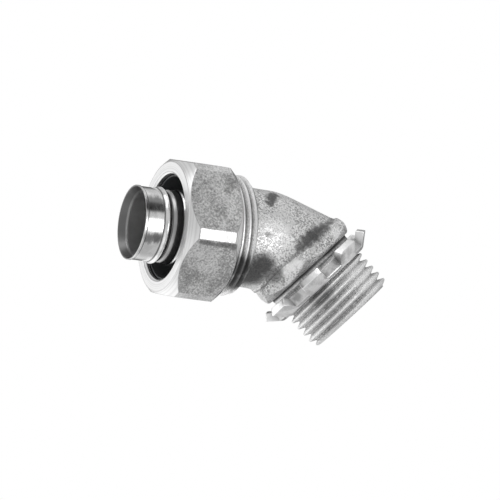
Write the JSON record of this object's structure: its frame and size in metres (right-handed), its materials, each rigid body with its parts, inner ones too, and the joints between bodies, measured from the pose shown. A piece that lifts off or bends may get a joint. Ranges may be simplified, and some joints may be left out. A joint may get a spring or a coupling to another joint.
{
  "type": "liquidtight conduit connector",
  "caption": "45-degree liquidtight conduit connector: cast elbow body, threaded hub with lugged locknut, hexagonal gland nut, sealing ring and steel ferrule.",
  "frame": {"origin": "on the hub thread's axis, in the plane of the hexagonal flange's face that seats on the enclosure", "axes": "-Z down the hub thread, away from the flange; the compression leg rises at 45 degrees in the XZ plane towards +X and +Z"},
  "size_m": [0.0454, 0.0294, 0.0519],
  "materials": {
    "plated_casting": "zinc plated, as cast and finely speckled",
    "plated_bar": "zinc plated, satin on the flats and bright where turned",
    "bright_steel": "bright plated drawn tube",
    "plated_stamping": "zinc plated stamping",
    "sealing_nylon": "smooth moulded nylon"
  },
  "bodies": {
    "casting": {"body": "plated_casting", "ferrule": "bright_steel"},
    "ring": {"sealing_ring": "sealing_nylon"},
    "nut": {"gland_nut": "plated_bar"},
    "lock": {"locknut": "plated_stamping"}
  },
  "joints": [
    {"name": "ring_slide", "type": "slide", "parent": "casting", "child": "ring", "axis": [0.7071, 0, 0.7071], "range_m": [0, 0.00565]},
    {"name": "nut_turn", "type": "hinge", "parent": "ring", "child": "nut", "pos_m": [0.01414, 0, 0.02144], "axis": [0.7071, 0, 0.7071], "range_deg": [0, 1440]},
    {"name": "locknut_run", "type": "slide", "parent": "casting", "child": "lock", "axis": [0, 0, -1], "range_m": [0, 0.0085]}
  ],
  "couplings": [
    {"joint": "ring_slide", "follows": "nut_turn", "m_per_rad": 0.00022457}
  ]
}
